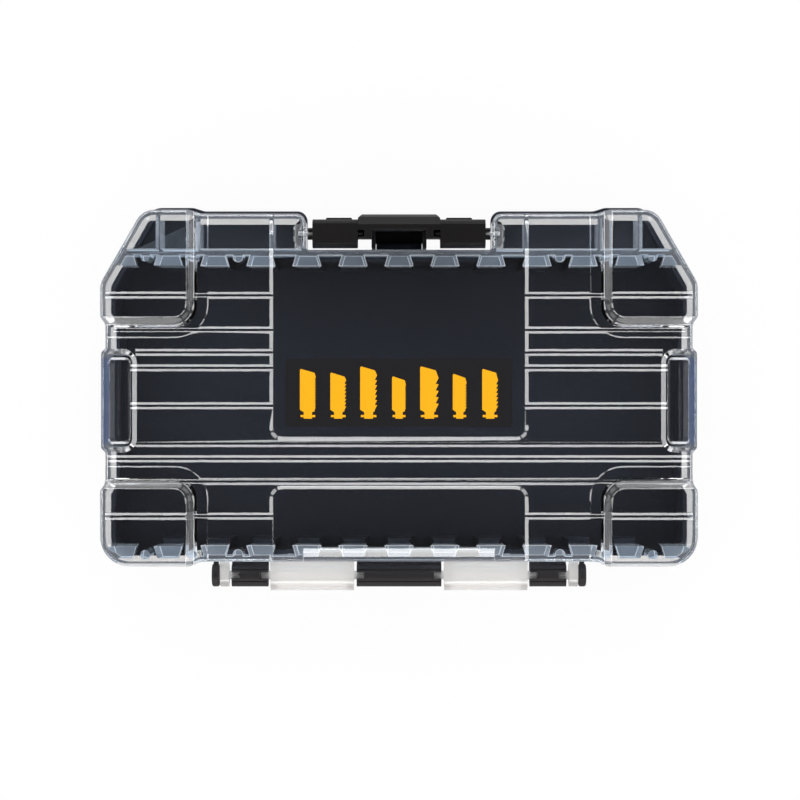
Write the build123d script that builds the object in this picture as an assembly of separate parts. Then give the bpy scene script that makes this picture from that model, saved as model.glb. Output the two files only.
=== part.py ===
"""Saw blade storage case: a moulded tray, a deep clear lid hinged along the back, and a
swing latch at the front.

The case lies flat on its tray. +Z is up, the latch is at -Y, the hinge is at +Y, and the
origin is at the middle of the underside. All sizes are in millimetres.
"""

from build123d import *
import os

os.makedirs("parts", exist_ok=True)

# ---------------------------------------------------------------- heights
Z_TOP = 50.0  # tops of the ribs that cross the lid's corner pads
Z_PAD = 49.5  # corner pads of the lid
Z_TERRACE = 46.9  # low step round each pad
Z_MAIN = 46.6  # main face of the lid
Z_WINDOW = 45.8  # sunk windows of the lid
Z_CEILING = 44.3  # underside of the lid's face
Z_RIM = 27.0  # top of the tray
LID_GAP = 0.2  # between the tray's rim and the lid's edge
Z_LID = Z_RIM + LID_GAP
RIB_RISE = 0.5  # ribs above the main face

# ---------------------------------------------------------------- plan of the lid
HALF_W = 119.8
WAIST = 118.0  # half width between the pads and the grips
FRONT = -74.5  # shoulders beside the latch
FRONT_PAD = -75.9
RECESS_Y = -60.0  # wall behind the latch
RECESS_X = 37.5
REAR = 65.4
REAR_PAD = 67.2
JOG_IN = 79.5  # where the pads start to stand forward of the shoulders
JOG_OUT = 84.0
CHAMFER_X = 102.8  # the front corners are cut off steeply
CHAMFER_Y = -46.4
TRAY_FRONT = 2.3  # the tray's rim stands this far in front of the lid
TRAY_REAR = 0.8  # and this far behind the lid's rear pads

WALL = 2.0
EDGE_R = 1.6  # rounding of the lid's upper edges
HAUNCH = 2.4  # the lid's walls thicken at 45 degrees just under its face

# ---------------------------------------------------------------- lid face
PAD_X = 85.6  # inner edge of each pad's top
PAD_FRONT_Y = -33.0
PAD_REAR_Y = 36.0
PAD_R = 5.0
PAD_SLOPE = 3.4  # width of the pad's sloped side
PAD_EDGE = 0.5  # its upper and lower edges are eased over this width
PAD_EDGE_DROP = 0.27
TERRACE_X = 77.0
TERRACE_FRONT_Y = -25.0
TERRACE_REAR_Y = 27.4
TERRACE_R = 13.0

WINDOW_X = 52.0
WINDOW_SLOPE = 1.4
WINDOW_R = 5.2
WINDOW_END_Y = 16.6  # rear edge of the front window
REAR_WINDOW_Y = 34.8  # front edge of the rear window

RIB_BASE = 2.8
RIB_CREST = 0.9
RIB_INNER_X = 50.5  # ribs beside a window end just over its edge
# y of each rib, its outer end, and whether it runs right across
RIBS = [
    (-41.6, 117.6, False),
    (-27.7, 114.5, False),
    (-18.7, 105.8, False),
    (-12.5, 108.6, False),
    (2.7, 108.6, False),
    (17.9, 105.8, True),
    (24.0, 116.6, True),
    (33.1, 116.6, True),
    (47.0, 117.6, False),
]
PAD_RIBS = (-41.6, 47.0)  # the ribs that also cross the pads

# ---------------------------------------------------------------- finger grips
GRIP_IN = 108.8
GRIP_OUT = 116.2
GRIP_FRONT = -15.7
GRIP_REAR = 17.1
GRIP_R = 1.2
GRIP_WALL = (1.4, 2.4)  # the pocket's walls along X and along Y
GRIP_HAUNCH = 2.0  # they thicken under the lid's face too
GRIP_EASE = 1.0  # the pocket's mouth is eased over this width
GRIP_EASE_DROP = 0.55
GRIP_FLOOR = 2.0

# ---------------------------------------------------------------- dovetail rails
PITCH = 18.5
LAST_TOOTH = 6
TOOTH_REACH = 4.4
TOOTH_ROOT = 8.8  # at the lid's face
TOOTH_TIP = 11.7
TOOTH_ROOT_FREE = 6.4  # at the tooth's free end
TOOTH_TIP_FREE = 9.5
TOOTH_FREE_Z = 29.0
PEG_W = 3.7
PEG_REACH = 2.8
PEG_PITCHES = (3.5, 4.5, 5.5)
WEB_T = 1.8  # upright webs inside the shoulders
SHOULDER_WEBS = (51.2, 80.8, 96.6)
BAR_X = 38.5  # stiffening bar along the inside of the rear wall, under a sloped ledge
BAR_T = 3.4
BAR_Z = 36.0
LEDGE_Y = (60.1, 63.5)
LEDGE_DROP = 1.9

# ---------------------------------------------------------------- tray
FLOOR_T = 2.5
TRAY_WALL = 2.2
FLANGE_Z = 23.0
FLANGE_OUT = 1.6  # the rim stands this far out from the walls below it
DECK_Z = 20.0  # closed decks in the tray's front shoulders
DECK_T = 2.2
TRAY_TEETH_Z = 23.0
FOOT_STEP = 1.2  # the foot is set in and up by this much
FOOT_Z = 0.9  # the underside is sunk inside a foot rim
FOOT_RIM = 7.0
FOOT_RIBS = (0.0, 42.0, 84.0)
FOOT_RIB_W = 2.4
SHOULDER_Y = RECESS_Y + WALL / 2  # the front shoulders are nodes cut off in the middle of a wall
SHOULDER_X = 35.9

# ---------------------------------------------------------------- hinge
HINGE_Y = 72.0
HINGE_Z = Z_RIM
STUB_R = 1.7  # clear trunnion stubs on the lid's knuckles
STUB_PLAY = 0.05
STUB_LENGTH = 3.0  # how far each stub enters its socket
STUB_ROOT = 1.0  # and how far it is sunk in the knuckle that carries it
SOCKET_LENGTH = 3.3
SOCKET_MOUTH = 2.8  # the sockets are slotted on top, so the stubs snap in
TRAY_BARREL_R = 4.7
LID_BARREL_R = 6.2
CENTRE_KNUCKLE = (-17.3, 17.3)
LID_KNUCKLE = (18.4, 52.4)
TRAY_KNUCKLE = (53.4, 68.3)
END_PLATE = (69.4, 73.0)
END_DISC = (73.3, 76.4)
KNUCKLE_SKIN = 1.6  # the lid's knuckles are hollow and open below
KNUCKLE_END = 2.6
GROOVE_OFF = 2.3
GROOVE_W = 0.7
GROOVE_FLOOR = 3.65  # above the hinge line
END_DISC_R = 0.9
END_DISC_STEM = 0.6  # the disc's stem is set in by this much
KNUCKLE_ROOT = 2.0  # the tray's knuckles start this far inside the lid's rear wall
SLOT_TOP = HINGE_Z + 9.0  # above every knuckle of the tray

# ---------------------------------------------------------------- latch
LATCH_Y = -66.7
LATCH_Z = 40.0
LATCH_R = 5.85
LATCH_FLAT_Z = 44.3  # the barrels are flat on top
LATCH_PIN_R = 1.05
LATCH_PIN_PLAY = 0.05
BOSS_R = 3.0  # bosses in the lid that hold the pins
BOSS_LENGTH = 5.0
PIN_HOLE = 3.5
BARREL_X = (16.6, 34.9)
COLLAR_R = 2.4  # a short collar on each barrel, open on top
COLLAR_END = 36.9
COLLAR_SLOT = 1.3  # half width of its open top
TAB_X = 16.6
CHEEK_X = (9.6, 11.2)
CHEEK_BACK = -61.5
PLATE_BACK = -68.8
PLATE_FRONT = -71.4
PLATE_KICK = 1.4  # the plate's foot leans forward by this much
PLATE_BEND_Z = 13.0
PLATE_FOOT_Z = 9.8
CATCH_X = 9.35
CATCH_OUT = -64.0
CATCH_ROOT = 3.0
CATCH_SLOPE = 4.0
CATCH_Z = (18.2, 21.4)
CATCH_SECTION = [
    (RECESS_Y + CATCH_ROOT, CATCH_Z[0]),
    (CATCH_OUT, CATCH_Z[0]),
    (CATCH_OUT, CATCH_Z[1]),
    (RECESS_Y + CATCH_ROOT, CATCH_Z[1] + CATCH_SLOPE),
]
HOOK_FOOT = 13.6
HOOK_TOP = 17.6
HOOK_BACK = -64.2
HOOK_ROOT = PLATE_BACK - 0.5  # sunk in the plate
HOOK_SECTION = [
    (HOOK_ROOT, HOOK_FOOT),
    (HOOK_BACK, HOOK_FOOT),
    (HOOK_BACK, HOOK_TOP),
    (HOOK_ROOT, HOOK_TOP),
]
CHEEK_TOP = 33.0
CHEEK_SECTION = [
    (HOOK_ROOT, HOOK_FOOT),
    (CHEEK_BACK - 2.0, HOOK_FOOT),
    (CHEEK_BACK, HOOK_FOOT + 2.4),
    (CHEEK_BACK, CHEEK_TOP),
    (HOOK_ROOT, CHEEK_TOP),
]
BOX_FRONT = -68.2  # front of the hollow between the cheeks
BOX_X = 10.9  # its half width above the cheeks
LATCH_PIN = (14.4, 40.6)
LATCH_BORE_END = 13.9
PIN_NOTCH_Y = (-68.1, -65.3)  # notches that leave the pins' inner ends in sight
PIN_NOTCH_Z = 38.4
LATCH_TOP = 46.0
LATCH_PAD_X = (19.0, 29.6)
LATCH_PAD_Z = (14.0, 38.0)
LATCH_PAD_OUT = 2.0
TAB_FRONT = [(-73.4, 42.2), (-75.2, 32.0), (-75.3, 20.0), (-76.6, 9.4)]
TAB_BACK = [
    (-74.6, 8.2),
    (-71.4, 11.0),
    (PLATE_BACK, 11.6),
    (PLATE_BACK, 35.0),
    (-64.6, 37.0),
    (-64.6, 44.2),
    (-70.4, 44.6),
]
TAB_CORNER = [(TAB_X + 1, -71.2), (TAB_X - 0.2, -73.2), (TAB_X - 3.9, -78.0), (TAB_X + 1, -78.0)]

# ---------------------------------------------------------------- label
LABEL_X = 45.5
LABEL_Y = (-16.2, 11.0)
LABEL_T = 0.15
REAR_LABEL_X = 44.6  # shallow seat for a second label in the rear window
REAR_LABEL_Y = 41.8
REAR_LABEL_R = 2.8
SEAT_D = 0.2

BIG = 200.0  # longer than the case, for cutting blocks


def outline(front_out=0.0, rear_out=0.0):
    """Corner points and radii of the case seen from above, right half then left."""
    lean = (HALF_W - CHAMFER_X) / (CHAMFER_Y - FRONT_PAD)
    half = [
        (RECESS_X, RECESS_Y, 1.5),
        (RECESS_X, FRONT - front_out, 4.0),
        (JOG_IN, FRONT - front_out, 4.0),
        (JOG_OUT, FRONT_PAD - front_out, 4.0),
        (CHAMFER_X - lean * front_out, FRONT_PAD - front_out, 8.0),
        (HALF_W, CHAMFER_Y, 8.0),
        (HALF_W, PAD_FRONT_Y, 2.0),
        (WAIST, PAD_FRONT_Y + 2.6, 2.0),
        (WAIST, GRIP_FRONT - 4.8, 1.2),
        (HALF_W, GRIP_FRONT - 3.0, 1.2),
        (HALF_W, GRIP_REAR + 2.6, 1.2),
        (WAIST, GRIP_REAR + 4.6, 1.2),
        (WAIST, PAD_REAR_Y - 2.0, 2.0),
        (HALF_W, PAD_REAR_Y + 0.8, 2.0),
        (HALF_W, REAR_PAD + rear_out, 12.0),
        (JOG_OUT, REAR_PAD + rear_out, 4.0),
        (JOG_IN, REAR, 4.0),
    ]
    return half + [(-x, y, r) for x, y, r in reversed(half)]


def rounded_face(corners):
    """A flat face at z = 0 from corner points with a radius each."""
    path = FilletPolyline(*[(x, y) for x, y, _ in corners], radius=[r for _, _, r in corners], close=True)
    return make_face(path)


def rounded_block(x0, x1, y0, y1, z0, z1, radius):
    """An upright block with rounded vertical edges."""
    plan = RectangleRounded(x1 - x0, y1 - y0, radius)
    return extrude(Pos((x0 + x1) / 2, (y0 + y1) / 2, z0) * plan, amount=z1 - z0)


def block(x0, x1, y0, y1, z0, z1):
    """A plain block between two corners."""
    return Pos((x0 + x1) / 2, (y0 + y1) / 2, (z0 + z1) / 2) * Box(x1 - x0, y1 - y0, z1 - z0)


def frustum(x0, x1, y0, y1, radius, z0, z1, spread):
    """A rounded block whose sides lean out by spread from z0 to z1."""
    low = Pos((x0 + x1) / 2, (y0 + y1) / 2, z0) * RectangleRounded(x1 - x0, y1 - y0, radius)
    high = RectangleRounded(x1 - x0 + 2 * spread, y1 - y0 + 2 * spread, radius + spread)
    return loft([low, Pos((x0 + x1) / 2, (y0 + y1) / 2, z1) * high])


def along_x(points, x0, x1):
    """A bar whose section is given by (y, z) points, from x0 to x1."""
    section = Plane.YZ.offset(x0) * make_face(Polyline(*points, close=True))
    return extrude(section, amount=x1 - x0, dir=(1, 0, 0))


def rod_x(x0, x1, y, z, radius):
    """A round rod along X."""
    return Pos((x0 + x1) / 2, y, z) * Rot(0, 90, 0) * Cylinder(radius, x1 - x0)


def both_sides(shape):
    """The shape and its mirror image on the other side of the case."""
    return [shape, mirror(shape, Plane.YZ)]


def level(face, top):
    """The lid's plan as a solid up to one level of its face, with its upper edge rounded."""
    solid = extrude(Pos(0, 0, Z_LID) * face, amount=top - Z_LID)
    return fillet(solid.faces().sort_by(Axis.Z)[-1].edges(), EDGE_R)


def corner_region(inner_x, edge_y, radius, steps):
    """The corner block of the face beyond inner_x and edge_y. steps are (z, how far out) downwards."""
    far = BIG if edge_y > 0 else -BIG
    y0, y1 = sorted((edge_y, far))
    low, out = steps[-1]
    region = rounded_block(inner_x - out, BIG, y0 - out, y1 + out, Z_LID, low, radius + out)
    for (z1, out1), (z0, out0) in zip(steps, steps[1:]):
        sides = (inner_x - out1, BIG, y0 - out1, y1 + out1)
        region += frustum(*sides, radius + out1, z1, z0, out0 - out1)
    return region


def pad_steps(rise=0.0):
    """The pad's side from its top to the terrace: a steep slope with an eased edge above and below."""
    return [
        (Z_PAD + rise, 0.0),
        (Z_PAD + rise - PAD_EDGE_DROP, PAD_EDGE),
        (Z_TERRACE + rise + PAD_EDGE_DROP, PAD_SLOPE - PAD_EDGE),
        (Z_TERRACE + rise, PAD_SLOPE),
    ]


def lid_body(plan):
    """The lid's outside before it is hollowed: main face, terraces, pads and sunk windows."""
    body = level(plan, Z_MAIN)
    terraces = level(plan, Z_TERRACE)
    pads = level(plan, Z_PAD)
    for terrace_y, pad_y in ((TERRACE_FRONT_Y, PAD_FRONT_Y), (TERRACE_REAR_Y, PAD_REAR_Y)):
        low = corner_region(TERRACE_X, terrace_y, TERRACE_R, [(Z_TERRACE, 0.0), (Z_MAIN, 0.5)])
        high = corner_region(PAD_X, pad_y, PAD_R, pad_steps())
        for region in both_sides(low):
            body += terraces & region
        for region in both_sides(high):
            body += pads & region
    face = block(-BIG, BIG, RECESS_Y - 0.5, BIG, Z_LID, Z_TOP)
    for y0, y1 in ((-BIG, WINDOW_END_Y), (REAR_WINDOW_Y, BIG)):
        body -= face & frustum(
            WINDOW_SLOPE - WINDOW_X,
            WINDOW_X - WINDOW_SLOPE,
            y0 + WINDOW_SLOPE,
            y1 - WINDOW_SLOPE,
            WINDOW_R - WINDOW_SLOPE,
            Z_WINDOW,
            Z_MAIN,
            WINDOW_SLOPE,
        )
    seat = rounded_block(
        -REAR_LABEL_X, REAR_LABEL_X, REAR_LABEL_Y, BIG, Z_WINDOW - SEAT_D, Z_MAIN, REAR_LABEL_R
    )
    return body - seat


def rib(y, x0, x1, base, crest_z):
    """A straight rib along X with sloped sides, from below the face up to crest_z."""
    half, crest = RIB_BASE / 2, RIB_CREST / 2
    points = [
        (y - half, Z_CEILING + 0.5),
        (y + half, Z_CEILING + 0.5),
        (y + half, base),
        (y + crest, crest_z),
        (y - crest, crest_z),
        (y - half, base),
    ]
    return along_x(points, x0, x1)


def ribs():
    """Every rib of the lid's face as a list of bars."""
    bars = []
    for y, outer, across in RIBS:
        if across:
            bars.append(rib(y, -outer, outer, Z_MAIN, Z_MAIN + RIB_RISE))
        else:
            bars += both_sides(rib(y, RIB_INNER_X, outer, Z_MAIN, Z_MAIN + RIB_RISE))
    return bars


def pad_ribs(plan):
    """The ribs over the corner pads, cut to follow the pads' slopes and the case's outline."""
    bars = []
    for y, edge_y in zip(PAD_RIBS, (PAD_FRONT_Y, PAD_REAR_Y)):
        cover = corner_region(PAD_X, edge_y, PAD_R, pad_steps(Z_TOP - Z_PAD))
        bar = rib(y, PAD_X - PAD_SLOPE, RIBS[0][1], Z_PAD, Z_TOP) & cover
        bars += both_sides(bar)
    return bars


def tooth(x, wall_y, way, base_z, free_z):
    """One upright dovetail tooth on a rail. It narrows from base_z towards its free end."""
    back = wall_y - way * 0.5
    tip = wall_y + way * TOOTH_REACH
    ends = []
    for z, root, nose in ((base_z, TOOTH_ROOT, TOOTH_TIP), (free_z, TOOTH_ROOT_FREE, TOOTH_TIP_FREE)):
        corners = [(x - root / 2, back), (x + root / 2, back), (x + nose / 2, tip), (x - nose / 2, tip)]
        ends.append(Pos(0, 0, z) * make_face(Polyline(*corners, close=True)))
    return loft(ends)


def peg(x, wall_y, way):
    """A round-nosed guide peg between two teeth."""
    reach = PEG_REACH - PEG_W / 2
    y0, y1 = sorted((wall_y - way * 0.5, wall_y + way * reach))
    height = Z_PAD - TOOTH_FREE_Z
    nose = Pos(x, wall_y + way * reach, TOOTH_FREE_Z + height / 2) * Cylinder(PEG_W / 2, height)
    return block(x - PEG_W / 2, x + PEG_W / 2, y0, y1, TOOTH_FREE_Z, Z_PAD) + nose


def rail_parts():
    """Teeth and pegs of the front and rear rails, standing on the lid's inner walls."""
    shapes = []
    for wall_y, way in ((RECESS_Y + WALL, 1), (REAR - WALL, -1)):
        for k in range(-LAST_TOOTH, LAST_TOOTH + 1):
            shapes.append(tooth(k * PITCH, wall_y, way, Z_PAD, TOOTH_FREE_Z))
        for step in PEG_PITCHES:
            shapes += both_sides(peg(step * PITCH, wall_y, way))
    return shapes


def hollow_level(corners, top):
    """The lid's hollow up to one ceiling, narrowing at 45 degrees just under it."""
    inner = offset(rounded_face(corners), amount=-WALL)
    sharp = make_face(Polyline(*[(x, y) for x, y, _ in corners], close=True))
    sharp = offset(sharp, amount=-WALL, kind=Kind.INTERSECTION)
    height = top - Z_LID + 1
    narrowed = extrude(Pos(0, 0, Z_LID - 1) * sharp, amount=height)
    narrowed = chamfer(narrowed.faces().sort_by(Axis.Z)[-1].edges(), HAUNCH)
    straight = extrude(Pos(0, 0, Z_LID - 1) * inner, amount=height)
    middle = block(-RECESS_X - BOSS_LENGTH, RECESS_X + BOSS_LENGTH, RECESS_Y + WALL, 0, Z_LID, top)
    middle += block(-JOG_IN, JOG_IN, 0, REAR, Z_LID, top)
    return (straight & narrowed) + (straight & middle)


def lid_cavity(corners):
    """The hollow of the lid: main space, shoulder pockets and the hollows under the pads."""
    space = hollow_level(corners, Z_CEILING)
    under_pads = hollow_level(corners, Z_PAD - WALL)
    for pad_y in (PAD_FRONT_Y, PAD_REAR_Y):
        edge_y = pad_y + 0.8 if pad_y < 0 else pad_y - 0.8
        pad = corner_region(PAD_X - 1.0, edge_y, PAD_R, [(Z_PAD - WALL, 0.0), (Z_CEILING, PAD_SLOPE)])
        for region in both_sides(pad):
            space += under_pads & region
    inner_wall, end_wall = GRIP_WALL
    sides = (GRIP_IN - inner_wall, BIG, GRIP_FRONT - end_wall, GRIP_REAR + end_wall)
    wall = rounded_block(*sides, Z_LID - 2, Z_PAD, GRIP_R + end_wall)
    wall += frustum(*sides, GRIP_R + end_wall, Z_CEILING - GRIP_HAUNCH, Z_CEILING, GRIP_HAUNCH)
    for side in both_sides(wall):
        space -= side
    return space


def lid_knuckle(x0, x1, radius):
    """A knuckle on the lid: a barrel, and the web that carries it."""
    web = block(x0, x1, REAR - 1.0, HINGE_Y, Z_LID, HINGE_Z + radius)
    return rod_x(x0, x1, HINGE_Y, HINGE_Z, radius) + web


def hinge_rod(x0, x1, radius):
    """A round rod on the hinge line."""
    return rod_x(x0, x1, HINGE_Y, HINGE_Z, radius)


def hollow_knuckle():
    """A long clear knuckle, hollow and open below, with a stub at each end."""
    x0, x1 = LID_KNUCKLE
    core_r = LID_BARREL_R - KNUCKLE_SKIN
    core_x0, core_x1 = x0 + KNUCKLE_END, x1 - KNUCKLE_END
    knuckle = lid_knuckle(x0, x1, LID_BARREL_R)
    knuckle -= hinge_rod(core_x0, core_x1, core_r)
    knuckle -= block(core_x0, core_x1, HINGE_Y - core_r, HINGE_Y + core_r, HINGE_Z - BIG, HINGE_Z)
    knuckle += hinge_rod(CENTRE_KNUCKLE[1] - STUB_LENGTH, x0 + STUB_ROOT, STUB_R)
    knuckle += hinge_rod(x1 - STUB_ROOT, TRAY_KNUCKLE[0] + STUB_LENGTH, STUB_R)
    return knuckle


def end_plate():
    """The thin clear knuckle at the end of the hinge, with a stub on its inner side."""
    x0, x1 = END_PLATE
    plate = lid_knuckle(x0, x1, TRAY_BARREL_R)
    return plate + hinge_rod(TRAY_KNUCKLE[1] - STUB_LENGTH, x0 + STUB_ROOT, STUB_R)


def make_lid():
    """The clear lid, one moulding."""
    plan = rounded_face(outline())
    body = lid_body(plan) - ledge_cut()
    shell = body - lid_cavity(outline())
    inside = block(-BIG, BIG, RECESS_Y - 0.2, RECESS_Y + WALL, Z_LID, Z_PAD)
    for x in SHOULDER_WEBS:
        for web in both_sides(block(x - WEB_T / 2, x + WEB_T / 2, -BIG, RECESS_Y + 1, Z_LID, Z_PAD)):
            inside += web
    for shape in rail_parts():
        inside += shape
    inside += bar_profile()
    shell += inside & body
    for bar in ribs() + pad_ribs(plan):
        shell += bar
    for pocket in both_sides(grip_pocket()):
        shell -= pocket
    for knuckle in both_sides(hollow_knuckle()) + both_sides(end_plate()):
        shell += knuckle
    for boss in both_sides(rod_x(RECESS_X, RECESS_X + BOSS_LENGTH, LATCH_Y, LATCH_Z, BOSS_R)):
        shell += boss
    for hole in both_sides(rod_x(RECESS_X - 1, RECESS_X + PIN_HOLE, LATCH_Y, LATCH_Z, LATCH_PIN_R)):
        shell -= hole
    return shell


def grip_pocket():
    """What is cut for a finger pocket: a deep well with an eased mouth."""
    sides = (GRIP_IN, GRIP_OUT, GRIP_FRONT, GRIP_REAR)
    well = rounded_block(*sides, Z_LID + GRIP_FLOOR, Z_MAIN, GRIP_R)
    well += frustum(*sides, GRIP_R, Z_MAIN - GRIP_EASE_DROP, Z_MAIN, GRIP_EASE)
    ease = GRIP_EASE
    mouth = (GRIP_IN - ease, GRIP_OUT + ease, GRIP_FRONT - ease, GRIP_REAR + ease)
    return well + rounded_block(*mouth, Z_MAIN, Z_TOP + 1, GRIP_R + ease)


def bar_profile():
    """The stiffening bar under the ledge, inside the rear wall."""
    return block(-BAR_X, BAR_X, REAR - WALL - BAR_T, REAR - WALL + 0.2, BAR_Z, Z_PAD)


def ledge_cut():
    """What is cut from the rear edge of the face to leave a ledge that slopes down to the rear."""
    high = Z_WINDOW - SEAT_D
    low = high - LEDGE_DROP
    front, foot = LEDGE_Y
    points = [(front, high), (foot, low), (BIG, low), (BIG, Z_TOP), (front, Z_TOP)]
    return along_x(points, -BAR_X, BAR_X)


def socket(end_x, way):
    """The blind socket in a tray knuckle's end, slotted through to the knuckle's top."""
    x0, x1 = sorted((end_x + way, end_x - way * SOCKET_LENGTH))
    mouth = block(x0, x1, HINGE_Y - SOCKET_MOUTH / 2, HINGE_Y + SOCKET_MOUTH / 2, HINGE_Z, SLOT_TOP)
    return hinge_rod(x0, x1, STUB_R + STUB_PLAY) + mouth


def tray_knuckle(x0, x1):
    """A black knuckle on the tray, with two grooves along its top and a socket in each end."""
    barrel = hinge_rod(x0, x1, TRAY_BARREL_R)
    barrel += block(x0, x1, REAR - KNUCKLE_ROOT, HINGE_Y, HINGE_Z - TRAY_BARREL_R, Z_RIM - LID_GAP)
    for y in (HINGE_Y - GROOVE_OFF, HINGE_Y + GROOVE_OFF):
        barrel -= block(x0, x1, y - GROOVE_W / 2, y + GROOVE_W / 2, HINGE_Z + GROOVE_FLOOR, SLOT_TOP)
    return barrel - socket(x0, -1) - socket(x1, 1)


def end_disc():
    """The black disc that closes the hinge at its end."""
    x0, x1 = END_DISC
    disc = hinge_rod(x0, x1, TRAY_BARREL_R)
    disc = fillet(disc.edges().filter_by(GeomType.CIRCLE), END_DISC_R)
    x0 += END_DISC_STEM
    x1 -= END_DISC_STEM
    stem_foot = HINGE_Z - TRAY_BARREL_R + END_DISC_R
    return disc + block(x0, x1, REAR - KNUCKLE_ROOT, HINGE_Y, stem_foot, Z_RIM - LID_GAP)


def tray_teeth():
    """Dovetail teeth on the tray's front and rear inner walls, from the floor upwards."""
    shapes = []
    rear_wall = REAR - FLANGE_OUT - TRAY_WALL
    for wall_y, way in ((RECESS_Y + WALL, 1), (rear_wall, -1)):
        for k in range(1 - LAST_TOOTH, LAST_TOOTH):
            shapes.append(tooth(k * PITCH, wall_y, way, FLOOR_T - 0.5, TRAY_TEETH_Z))
    return shapes


def make_tray():
    """The black tray, one moulding."""
    rim = rounded_face(outline(TRAY_FRONT, TRAY_REAR))
    walls = offset(rim, amount=-FLANGE_OUT)
    hollow = offset(rim, amount=-FLANGE_OUT - TRAY_WALL)
    tray = extrude(Pos(0, 0, FOOT_STEP) * walls, amount=Z_RIM - FOOT_STEP)
    tray += extrude(offset(walls, amount=-FOOT_STEP), amount=FOOT_STEP)
    tray += extrude(Pos(0, 0, FLANGE_Z) * rim, amount=Z_RIM - FLANGE_Z)
    main = block(-BIG, BIG, RECESS_Y + WALL, BIG, FLOOR_T, Z_RIM + 1)
    shoulders = block(-BIG, BIG, -BIG, RECESS_Y, DECK_Z, Z_RIM + 1)
    space = extrude(Pos(0, 0, FLOOR_T) * hollow, amount=Z_RIM)
    tray -= space & main
    tray -= space & shoulders
    cored = extrude(Pos(0, 0, -1) * hollow, amount=DECK_Z - DECK_T + 1)
    tray -= cored & block(-BIG, BIG, -BIG, RECESS_Y - 0.4, -1, DECK_Z)
    panel = extrude(Pos(0, 0, -1) * offset(walls, amount=-FOOT_RIM), amount=FOOT_Z + 1)
    panel &= block(-BIG, BIG, RECESS_Y + FOOT_RIM, BIG, -1, FOOT_Z)
    half_rib = FOOT_RIB_W / 2
    for x in FOOT_RIBS:
        for bar in both_sides(block(x - half_rib, x + half_rib, -BIG, BIG, -2, FOOT_Z + 1)):
            panel -= bar
    tray -= panel
    for shape in tray_teeth():
        tray += shape
    tray += along_x(CATCH_SECTION, -CATCH_X, CATCH_X)
    tray += tray_knuckle(*CENTRE_KNUCKLE)
    for knuckle in both_sides(tray_knuckle(*TRAY_KNUCKLE)) + both_sides(end_disc()):
        tray += knuckle
    return tray


def split_shoulders(moulding):
    """A moulding as three nodes that meet face to face: its main part and its front shoulders."""
    right, left = both_sides(block(SHOULDER_X, BIG, -BIG, SHOULDER_Y, -1, Z_TOP + 1))
    return moulding - right - left, moulding & left, moulding & right


def latch_pin(way):
    """A short steel pin that carries one end of the latch, with a domed free end."""
    pin = rod_x(LATCH_PIN[0], LATCH_PIN[1], LATCH_Y, LATCH_Z, LATCH_PIN_R)
    pin = fillet(pin.edges().filter_by(GeomType.CIRCLE), LATCH_PIN_R * 0.5)
    return pin if way > 0 else mirror(pin, Plane.YZ)


def tab_section():
    """Side view of the latch's middle: a bulged lever with a finger lip at its foot."""
    back = Polyline(TAB_FRONT[-1], *TAB_BACK, TAB_FRONT[0])
    return make_face([Spline(*TAB_FRONT), *back.edges()])


def make_latch():
    """The swing latch: two barrels, a front plate, a bulged middle tab and a boxed hook."""
    section = [
        (PLATE_BACK, LATCH_Z),
        (PLATE_FRONT, LATCH_Z),
        (PLATE_FRONT, PLATE_BEND_Z),
        (PLATE_FRONT - PLATE_KICK, PLATE_FOOT_Z),
        (PLATE_BACK - PLATE_KICK, PLATE_FOOT_Z),
        (PLATE_BACK, PLATE_BEND_Z),
    ]
    latch = along_x(section, -BARREL_X[1], BARREL_X[1])
    latch -= block(-TAB_X, TAB_X, -BIG, BIG, TAB_BACK[3][1] + 1, BIG)
    barrel = rod_x(*BARREL_X, LATCH_Y, LATCH_Z, LATCH_R)
    barrel -= block(0, BIG, -BIG, 0, LATCH_FLAT_Z, BIG)
    collar = rod_x(BARREL_X[1] - 1, COLLAR_END, LATCH_Y, LATCH_Z, COLLAR_R)
    slot = (BARREL_X[1], BIG, LATCH_Y - COLLAR_SLOT, LATCH_Y + COLLAR_SLOT, LATCH_Z, BIG)
    for side in both_sides(barrel + (collar - block(*slot))):
        latch += side
    tab = extrude(Plane.YZ.offset(-TAB_X) * tab_section(), amount=2 * TAB_X, dir=(1, 0, 0))
    for wedge in both_sides(extrude(make_face(Polyline(*TAB_CORNER, close=True)), amount=Z_TOP)):
        tab -= wedge
    latch += tab
    pad_face = PLATE_FRONT - LATCH_PAD_OUT
    for pad in both_sides(rounded_block(*LATCH_PAD_X, pad_face, PLATE_FRONT + 0.5, *LATCH_PAD_Z, 0.6)):
        latch += pad
    for cheek in both_sides(along_x(CHEEK_SECTION, *CHEEK_X)):
        latch += cheek
    latch += along_x(HOOK_SECTION, -CHEEK_X[0] - 0.1, CHEEK_X[0] + 0.1)
    latch -= block(-CHEEK_X[0], CHEEK_X[0], BOX_FRONT, RECESS_Y, HOOK_TOP, LATCH_TOP)
    latch -= block(-BOX_X, BOX_X, BOX_FRONT, RECESS_Y, CHEEK_TOP, LATCH_TOP)
    for notch in both_sides(block(LATCH_BORE_END, BARREL_X[0], *PIN_NOTCH_Y, PIN_NOTCH_Z, LATCH_TOP)):
        latch -= notch
    bore_r = LATCH_PIN_R + LATCH_PIN_PLAY
    for bore in both_sides(rod_x(LATCH_BORE_END, COLLAR_END + 1, LATCH_Y, LATCH_Z, bore_r)):
        latch -= bore
    return latch


def make_label():
    """The contents label, a thin film in the front window of the lid."""
    plan = RectangleRounded(2 * LABEL_X, LABEL_Y[1] - LABEL_Y[0], 1.0)
    return extrude(Pos(0, sum(LABEL_Y) / 2, Z_WINDOW) * plan, amount=LABEL_T)


base_tray, tray_shoulder_left, tray_shoulder_right = split_shoulders(make_tray())
lid_shell, lid_shoulder_left, lid_shoulder_right = split_shoulders(make_lid())

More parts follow.
